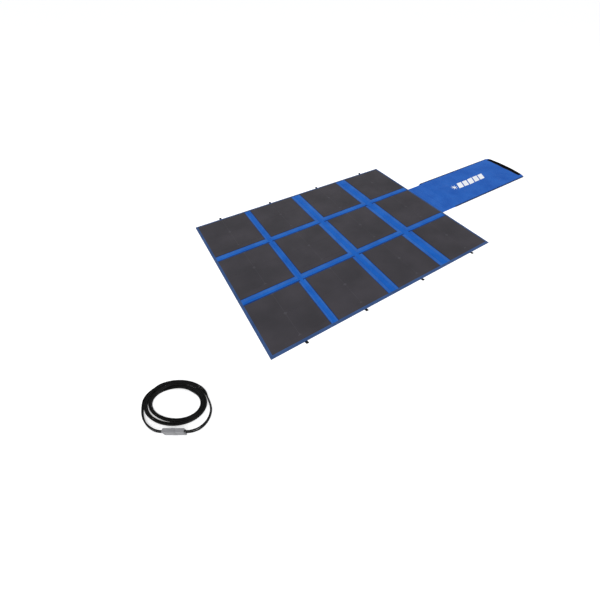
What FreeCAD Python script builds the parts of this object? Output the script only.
"""Folding solar blanket: twelve panels on a fabric backing, a storage flap with a pocket, and a coiled lead."""
import FreeCAD, Part
import math
import os

# ---- Driving dimensions, in millimetres --------------------------------------------------------------
# The blanket lies flat on the ground, solar side up. X runs along the columns towards the flap, Y from
# the front edge to the back edge. Lengths are laid out from the front left corner of the blanket.
PANEL_X, PANEL_Y = 317.0, 350.0        # one laminated panel
HEM_X, HEM_Y = 12.0, 10.0              # bare fabric round the edge
COLUMN_STRIPS = [45.0, 75.0, 88.0]     # bare fabric between the columns, wider towards the flap
ROW_STRIP = 50.0                       # bare fabric between the rows
ROWS = ["front", "middle", "back"]

FABRIC = 1.2                           # backing fabric thickness
LAMINATE = 1.7                         # laminate below the cells
CELL = 0.3                             # solar cell layer
CELL_SIDE = 156.75                     # pseudo-square cell
CELL_PITCH = 158.5
CELL_CORNER = 10.0                     # cut corner of a cell, along each side
CELL_MARGIN = 0.9                      # from the panel's back edge to the first cell

PLY_GAP = 0.3                          # air between two folded plies
MIDDLE_PLANE = FABRIC / 2              # height of the column hinges, in the middle of the fabric
HINGE_GAP = 1.0                        # from a column hinge line to the fabric beside it
STRIP_GAP = 1.2                        # the same, at the ends of the front and back strips
ROW_GAP = 0.5                          # from a row hinge line to the fabric beside it
CLEAR_OF_STRIPS = 10.0                 # front and back panels keep this far from a column hinge

LOOP_X = [[176.0, 525.0, 917.0, 1328.0], [167.0, 531.0, 917.0, 1328.0]]   # front edge, back edge
LOOP_WIDTH, LOOP_REACH, LOOP_THICK = 14.0, 16.0, 1.5
LOOP_HOLE = 2.5                        # radius of the eyelet
LOOP_EDGE = 0.5                        # from the laminate to the root of the loop

FLAP_Y = [400.0, 768.0]                # flap width beside the blanket
POCKET_Y = [398.0, 782.0]              # flap width where the pocket is
FLAP_OVERHANG = 13.0                   # from the blanket's edge to the flap's first hinge
POCKET_START = 137.0                   # from the blanket's edge to the pocket's sewn end
POUCH_LENGTH = 374.0                   # pouch base, between its two hinges
COVER_LENGTH = 445.0                   # pouch cover, beyond the last hinge
INNER_HEIGHT, OUTER_HEIGHT = 12.0, 14.8   # top of the pocket, on the base and on the cover
BINDING = 6.0                          # width of the bound edges
TOP_SETBACK = 3.0                      # upper sheet's distance from a hinge line
MOUTH_STRIP = 42.0                     # width of the hook strip at the pocket's mouth
MOUTH_BOW = 10.0                       # how far the strip bows inwards at its ends
MOUTH_INSET = 4.0
MOUTH_SIDE_GAPS = [32.0, 30.0]         # from the strip's ends to the pocket's front and back edges

BOX_X, BOX_Y = 90.0, 60.0              # junction box
BOX_BASE, BOX_LID, BOX_WALL = 6.5, 2.5, 2.0
BOX_INSET = 40.0                       # from the pocket's sewn end

LEAD_CENTRE = [-400.0, 30.0]           # centre of the coiled lead
LEAD_ANGLE = -34.0                     # direction of its two mated plugs
WIRE = 6.0                             # diameter of each of the lead's two wires
COIL_OUTER = [128.0, 86.0]             # half-length and half-width of the oval coil
COIL_WIDTH, COIL_HEIGHT = 26.0, 13.0   # its bundle of four wires beside each other, in two layers
COIL_TURN = -10.0                      # the oval's direction, from that of the plugs
PLUG_LEFT, PLUG_RIGHT = 2.0, 82.0      # rear faces of the mated plugs
PLUG_BODY = 32.0                       # full-width length of one plug
PLUG_THICK, PLUG_TALL = 16.3, 36.8
PLUG_BACK = -112.0                     # middle of the plugs, in front of the coil's centre
PLUG_GAP = 0.2                         # between the mated plugs
PLUG_WALL = 1.0                        # from the end of a wire entry to the full-width body's end
PLUG_BORE = 4.3                        # radius of a wire entry
WIRE_HEIGHTS = [10.4, 26.4]            # the two wire entries above the ground
WIRE_IN_PLUG = 8.0
CONTACT_R, CONTACT_END = 3.0, 4.0      # a contact's radius, and its distance from the body's end

# Route of each wire from its plug to the coil: along the plugs, across them, and height.
WIRE_ROUTES = {
    "lower_left": [(2, -112, 10.4), (-18, -111.5, 8.4), (-48, -104, 3.3), (-84, -83, 3.2),
                   (-112, -50, 3.2), (-121.6, -7.7, 3.8)],
    "upper_left": [(2, -112, 26.4), (-18, -110.5, 23.8), (-46, -101.5, 16.5), (-83, -81.5, 10.4),
                   (-111.5, -49.5, 9.8), (-121.6, -7.7, 9.9)],
    "lower_right": [(82, -112, 10.4), (102, -111, 8.2), (128, -98, 3.3), (147, -73, 3.2),
                    (152, -42, 3.2), (146, -14, 3.2), (114.7, 22.4, 3.8)],
    "upper_right": [(82, -112, 26.4), (101, -110.5, 23.2), (126, -98, 15.0), (145.5, -73.5, 10.3),
                    (152, -42, 9.8), (146, -14, 9.8), (114.7, 22.4, 9.9)],
}

# ---- Places worked out from the dimensions -----------------------------------------------------------
LAMINATE_TOP = FABRIC + LAMINATE
PLY = LAMINATE_TOP + CELL              # thickness of one panel with its fabric
PITCH = PLY + PLY_GAP                  # height that each folded ply adds
BLANKET_Y = 2 * HEM_Y + 3 * PANEL_Y + 2 * ROW_STRIP
BLANKET_X = 2 * HEM_X + 4 * PANEL_X + sum(COLUMN_STRIPS)

PANEL_LEFT = [HEM_X]                   # left side of each column's panels
for width in COLUMN_STRIPS:
    PANEL_LEFT.append(PANEL_LEFT[-1] + PANEL_X + width)
PANEL_FRONT = [HEM_Y + row * (PANEL_Y + ROW_STRIP) for row in range(3)]
ROW_HINGE = [start + PANEL_Y + ROW_STRIP / 2 for start in PANEL_FRONT[:2]]

# A folded strip stands upright, so its two hinges are as far apart as the plies between them are thick.
FOLDED_PLIES = [5, 8, 11]
HINGE_LEFT, HINGE_RIGHT = [], []
for number, plies in enumerate(FOLDED_PLIES):
    middle = PANEL_LEFT[number] + PANEL_X + COLUMN_STRIPS[number] / 2
    span = plies * PITCH + PLY - 2 * MIDDLE_PLANE
    HINGE_LEFT.append(middle - span / 2)
    HINGE_RIGHT.append(middle + span / 2)

PACK_HEIGHT = 12 * PITCH - PLY_GAP     # the folded blanket
OUTER_STACK = OUTER_HEIGHT + FABRIC    # the cover with its mouth strip
FLAP_HINGE_1 = BLANKET_X + FLAP_OVERHANG
FLAP_HINGE_2 = FLAP_HINGE_1 + INNER_HEIGHT + PLY_GAP + PACK_HEIGHT - 2 * MIDDLE_PLANE
FLAP_HINGE_3 = FLAP_HINGE_2 + POUCH_LENGTH
FLAP_HINGE_4 = FLAP_HINGE_3 + INNER_HEIGHT + PACK_HEIGHT + 2 * PLY_GAP + OUTER_STACK - 2 * MIDDLE_PLANE
FLAP_END = FLAP_HINGE_4 + COVER_LENGTH
POCKET_X = BLANKET_X + POCKET_START

ORIGIN = FreeCAD.Vector(-FLAP_END / 2, -BLANKET_Y / 2, 0)


# ---- Helpers -----------------------------------------------------------------------------------------
def block(x, y, z):
    """A box between the two values of each pair."""
    corner = FreeCAD.Vector(x[0], y[0], z[0])
    return Part.makeBox(x[1] - x[0], y[1] - y[0], z[1] - z[0], corner)


def prism(outline, low, high):
    """A flat outline, raised from one height to another."""
    points = [FreeCAD.Vector(x, y, low) for x, y in outline]
    face = Part.Face(Part.makePolygon(points + points[:1]))
    return face.extrude(FreeCAD.Vector(0, 0, high - low))


def export(shape, node):
    """Move a shape to the part's own origin and write it."""
    placed = shape.copy()
    placed.translate(ORIGIN)
    placed.exportStep(f"parts/{node}.step")


# ---- Blanket -----------------------------------------------------------------------------------------
def row_span(row):
    """Front and back edge of a row's fabric."""
    front = 0.0 if row == 0 else ROW_HINGE[row - 1] + ROW_GAP
    back = BLANKET_Y if row == 2 else ROW_HINGE[row] - ROW_GAP
    return [front, back]


def backing(column, row):
    """The fabric behind one panel. The middle row's last one also carries the root of the flap."""
    gap = HINGE_GAP if row == 1 else CLEAR_OF_STRIPS
    left = 0.0 if column == 0 else HINGE_RIGHT[column - 1] + gap
    right = BLANKET_X if column == 3 else HINGE_LEFT[column] - gap
    sheet = block([left, right], row_span(row), [0, FABRIC])
    if column == 3 and row == 1:
        root = block([right, FLAP_HINGE_1 - HINGE_GAP], FLAP_Y, [0, FABRIC])
        sheet = sheet.fuse(root).removeSplitter()
    return sheet


def cell(x, y):
    """One pseudo-square solar cell, from its left front corner."""
    side, cut = CELL_SIDE, CELL_CORNER
    outline = [(cut, 0), (side - cut, 0), (side, cut), (side, side - cut),
               (side - cut, side), (cut, side), (0, side - cut), (0, cut)]
    return prism([(x + dx, y + dy) for dx, dy in outline], LAMINATE_TOP, PLY)


def solar_panel(column, row):
    """A laminate with its four cells, which lie towards its back edge."""
    left, front = PANEL_LEFT[column], PANEL_FRONT[row]
    laminate = block([left, left + PANEL_X], [front, front + PANEL_Y], [FABRIC, LAMINATE_TOP])
    first_x = left + (PANEL_X - CELL_PITCH - CELL_SIDE) / 2
    first_y = front + PANEL_Y - CELL_MARGIN - CELL_PITCH - CELL_SIDE
    cells = [cell(first_x + i * CELL_PITCH, first_y + j * CELL_PITCH) for i in range(2) for j in range(2)]
    return Part.makeCompound([laminate] + cells)


def column_strip(number, row):
    """The fabric between two columns, which stands upright when the blanket is folded."""
    gap = HINGE_GAP if row == 1 else STRIP_GAP
    return block([HINGE_LEFT[number] + gap, HINGE_RIGHT[number] - gap], row_span(row), [0, FABRIC])


def tie_loop(column, back):
    """A flat webbing loop with an eyelet, sewn on the hem of the front or back edge."""
    middle = LOOP_X[back][column]
    sides = [middle - LOOP_WIDTH / 2, middle + LOOP_WIDTH / 2]
    if back:
        reach = [BLANKET_Y - HEM_Y + LOOP_EDGE, BLANKET_Y + LOOP_REACH]
        eye = BLANKET_Y + LOOP_REACH / 2
    else:
        reach = [-LOOP_REACH, HEM_Y - LOOP_EDGE]
        eye = -LOOP_REACH / 2
    tab = block(sides, reach, [FABRIC, FABRIC + LOOP_THICK])
    hole = Part.makeCylinder(LOOP_HOLE, 3 * LOOP_THICK, FreeCAD.Vector(middle, eye, 0))
    return tab.cut(hole)


def make_blanket():
    for row, name in enumerate(ROWS):
        for column in range(4):
            export(backing(column, row), f"backing_{name}_{column + 1}")
            export(solar_panel(column, row), f"solar_panel_{name}_{column + 1}")
        for number in range(3):
            export(column_strip(number, row), f"column_strip_{name}_{number + 1}{number + 2}")
    for column in range(4):
        export(tie_loop(column, 0), f"tie_loop_front_{column + 1}")
        export(tie_loop(column, 1), f"tie_loop_back_{column + 1}")


# ---- Flap and pocket ---------------------------------------------------------------------------------
def pocket_bindings(x, top):
    """The two bound long edges between a lower and an upper sheet."""
    near = block(x, [POCKET_Y[0], POCKET_Y[0] + BINDING], [FABRIC, top - FABRIC])
    far = block(x, [POCKET_Y[1] - BINDING, POCKET_Y[1]], [FABRIC, top - FABRIC])
    return [near, far]


def pouch_base_sheet():
    """The lower sheet under the folded pack: narrow beside the blanket, wider at the pocket."""
    left, right = FLAP_HINGE_2 + HINGE_GAP, FLAP_HINGE_3 - HINGE_GAP
    outline = [(left, FLAP_Y[0]), (POCKET_X, FLAP_Y[0]), (POCKET_X, POCKET_Y[0]), (right, POCKET_Y[0]),
               (right, POCKET_Y[1]), (POCKET_X, POCKET_Y[1]), (POCKET_X, FLAP_Y[1]), (left, FLAP_Y[1])]
    return prism(outline, 0, FABRIC)


def mouth_strip():
    """The bow-shaped hook strip across the upper sheet, at the pocket's mouth."""
    right = FLAP_END - MOUTH_INSET
    near, far = POCKET_Y[0] + MOUTH_SIDE_GAPS[0], POCKET_Y[1] - MOUTH_SIDE_GAPS[1]
    middle = (near + far) / 2
    low, high = OUTER_HEIGHT, OUTER_STACK
    right_bow = Part.Arc(FreeCAD.Vector(right - MOUTH_BOW, near, low), FreeCAD.Vector(right, middle, low),
                         FreeCAD.Vector(right - MOUTH_BOW, far, low))
    left = right - MOUTH_STRIP
    left_bow = Part.Arc(FreeCAD.Vector(left - MOUTH_BOW, far, low), FreeCAD.Vector(left, middle, low),
                        FreeCAD.Vector(left - MOUTH_BOW, near, low))
    far_end = Part.LineSegment(right_bow.EndPoint, left_bow.StartPoint)
    near_end = Part.LineSegment(left_bow.EndPoint, right_bow.StartPoint)
    edges = [curve.toShape() for curve in (right_bow, far_end, left_bow, near_end)]
    return Part.Face(Part.Wire(edges)).extrude(FreeCAD.Vector(0, 0, high - low))


def make_flap():
    strip_x = [FLAP_HINGE_1 + HINGE_GAP, FLAP_HINGE_2 - HINGE_GAP]
    export(block(strip_x, FLAP_Y, [0, FABRIC]), "flap_strip")
    export(pouch_base_sheet(), "pouch_base_sheet")

    inner_x = [POCKET_X, FLAP_HINGE_3 - TOP_SETBACK]
    export(block(inner_x, POCKET_Y, [INNER_HEIGHT - FABRIC, INNER_HEIGHT]), "pouch_inner_top")
    sewn_end = block([POCKET_X, POCKET_X + BINDING], [POCKET_Y[0] + BINDING, POCKET_Y[1] - BINDING],
                     [FABRIC, INNER_HEIGHT - FABRIC])
    export(Part.makeCompound(pocket_bindings(inner_x, INNER_HEIGHT) + [sewn_end]), "pouch_inner_binding")

    fold_x = [FLAP_HINGE_3 + HINGE_GAP, FLAP_HINGE_4 - HINGE_GAP]
    export(block(fold_x, POCKET_Y, [0, FABRIC]), "pouch_fold_strip")

    export(block([FLAP_HINGE_4 + HINGE_GAP, FLAP_END], POCKET_Y, [0, FABRIC]), "pouch_cover_sheet")
    outer_x = [FLAP_HINGE_4 + TOP_SETBACK, FLAP_END - MOUTH_INSET]
    export(block(outer_x, POCKET_Y, [OUTER_HEIGHT - FABRIC, OUTER_HEIGHT]), "pouch_outer_top")
    export(Part.makeCompound(pocket_bindings(outer_x, OUTER_HEIGHT)), "pouch_outer_binding")
    export(mouth_strip(), "pouch_mouth_strip")


def make_junction_box():
    """A flat box on the pouch base, inside the pocket, where the panels' wiring ends."""
    left = POCKET_X + BOX_INSET
    front = sum(POCKET_Y) / 2 - BOX_Y / 2
    x, y = [left, left + BOX_X], [front, front + BOX_Y]
    rim = FABRIC + BOX_BASE
    tray = block(x, y, [FABRIC, rim])
    hollow = block([x[0] + BOX_WALL, x[1] - BOX_WALL], [y[0] + BOX_WALL, y[1] - BOX_WALL],
                   [FABRIC + BOX_WALL, rim + 1])
    export(tray.cut(hollow), "junction_box_base")
    export(block(x, y, [rim, rim + BOX_LID]), "junction_box_lid")


# ---- Lead --------------------------------------------------------------------------------------------
def place_lead(shape):
    """Turn and move a shape from the lead's own axes to its place beside the blanket."""
    placed = shape.copy()
    placed.rotate(FreeCAD.Vector(0, 0, 0), FreeCAD.Vector(0, 0, 1), LEAD_ANGLE)
    placed.translate(FreeCAD.Vector(LEAD_CENTRE[0], LEAD_CENTRE[1], 0))
    return placed


def wire_tube(name, route):
    """A round wire along straight runs joined by tangent arcs."""
    points = [FreeCAD.Vector(*point) for point in route]
    edges, start, radii, length = [], points[0], [], 0.0
    for before, corner, after in zip(points, points[1:], points[2:]):
        back, ahead = (before - corner), (after - corner)
        shorter = min(back.Length, ahead.Length)
        back.normalize()
        ahead.normalize()
        half_turn = (math.pi - back.getAngle(ahead)) / 2
        tangent = 0.45 * shorter
        radius = tangent / math.tan(half_turn)
        arc_start, arc_end = corner + back * tangent, corner + ahead * tangent
        inward = back + ahead
        inward.normalize()
        middle = corner + inward * (radius / math.cos(half_turn) - radius)
        edges.append(Part.LineSegment(start, arc_start).toShape())
        edges.append(Part.Arc(arc_start, middle, arc_end).toShape())
        length += (arc_start - start).Length + radius * 2 * half_turn
        start = arc_end
        radii.append(radius)
    edges.append(Part.LineSegment(start, points[-1]).toShape())
    length += (points[-1] - start).Length
    section = Part.Wire(Part.makeCircle(WIRE / 2, points[0], points[1] - points[0]))
    tube = Part.Wire(edges).makePipeShell([section], True, True)
    expected = math.pi * WIRE ** 2 / 4 * length
    print(f"{name}: length {length:.1f}, radii {[round(r) for r in radii]}, "
          f"volume {tube.Volume:.0f} of {expected:.0f}, least height {tube.BoundBox.ZMin:.2f}")
    return tube


def plug(rear, direction, side):
    """One plug. Its tongue is half as thick and lies beside the other plug's tongue."""
    body = sorted([rear, rear + direction * PLUG_BODY])
    tongue_reach = abs(PLUG_RIGHT - PLUG_LEFT) - 2 * PLUG_BODY - PLUG_GAP
    tongue = sorted([rear + direction * PLUG_BODY, rear + direction * (PLUG_BODY + tongue_reach)])
    half = sorted([PLUG_BACK + side * PLUG_GAP / 2, PLUG_BACK + side * PLUG_THICK / 2])
    across = [PLUG_BACK - PLUG_THICK / 2, PLUG_BACK + PLUG_THICK / 2]
    shell = block(body, across, [0, PLUG_TALL]).fuse(block(tongue, half, [0, PLUG_TALL]))
    along = FreeCAD.Vector(direction, 0, 0)
    for height in WIRE_HEIGHTS:
        entry = FreeCAD.Vector(rear, PLUG_BACK, height)
        shell = shell.cut(Part.makeCylinder(PLUG_BORE, PLUG_BODY - PLUG_WALL, entry, along))
    return shell.removeSplitter()


def contact(rear, direction, height):
    """A round contact that holds the end of one wire inside its plug."""
    start = FreeCAD.Vector(rear + direction * WIRE_IN_PLUG, PLUG_BACK, height)
    reach = PLUG_BODY - WIRE_IN_PLUG - CONTACT_END
    return Part.makeCylinder(CONTACT_R, reach, start, FreeCAD.Vector(direction, 0, 0))


def oval(half_length, half_width):
    """A solid oval of the coil's height."""
    curve = Part.Ellipse(FreeCAD.Vector(0, 0, 0), half_length, half_width)
    return Part.Face(Part.Wire(curve.toShape())).extrude(FreeCAD.Vector(0, 0, COIL_HEIGHT))


def coil():
    """The lead's turns as one rounded oval ring."""
    ring = oval(*COIL_OUTER).cut(oval(*[half - COIL_WIDTH for half in COIL_OUTER]))
    rims = [edge for edge in ring.Edges if isinstance(edge.Curve, Part.Ellipse)]
    rounded = ring.makeFillet(WIRE / 2, rims)
    rounded.rotate(FreeCAD.Vector(0, 0, 0), FreeCAD.Vector(0, 0, 1), COIL_TURN)
    return rounded


def make_lead():
    ends = {"left": (PLUG_LEFT, 1, -1), "right": (PLUG_RIGHT, -1, 1)}
    contacts = []
    for name, (rear, direction, side) in ends.items():
        export(place_lead(plug(rear, direction, side)), f"lead_plug_{name}")
        contacts += [contact(rear, direction, height) for height in WIRE_HEIGHTS]
    export(place_lead(Part.makeCompound(contacts)), "lead_plug_contacts")

    for name, route in WIRE_ROUTES.items():
        rear, direction, _ = ends[name.split("_")[1]]
        tube = wire_tube(name, route)
        height = route[0][2]
        start = FreeCAD.Vector(rear + direction * WIRE_IN_PLUG, PLUG_BACK, height)
        end_in_plug = Part.makeCylinder(WIRE / 2, WIRE_IN_PLUG, start, FreeCAD.Vector(-direction, 0, 0))
        export(place_lead(end_in_plug.fuse(tube)), f"lead_wire_{name}")

    export(place_lead(coil()), "lead_coil")


os.makedirs("parts", exist_ok=True)
make_blanket()
make_flap()
make_junction_box()
make_lead()
print(f"hinges left {HINGE_LEFT}, right {HINGE_RIGHT}, rows {ROW_HINGE}")
print(f"flap hinges {FLAP_HINGE_1} {FLAP_HINGE_2} {FLAP_HINGE_3} {FLAP_HINGE_4}, end {FLAP_END}")
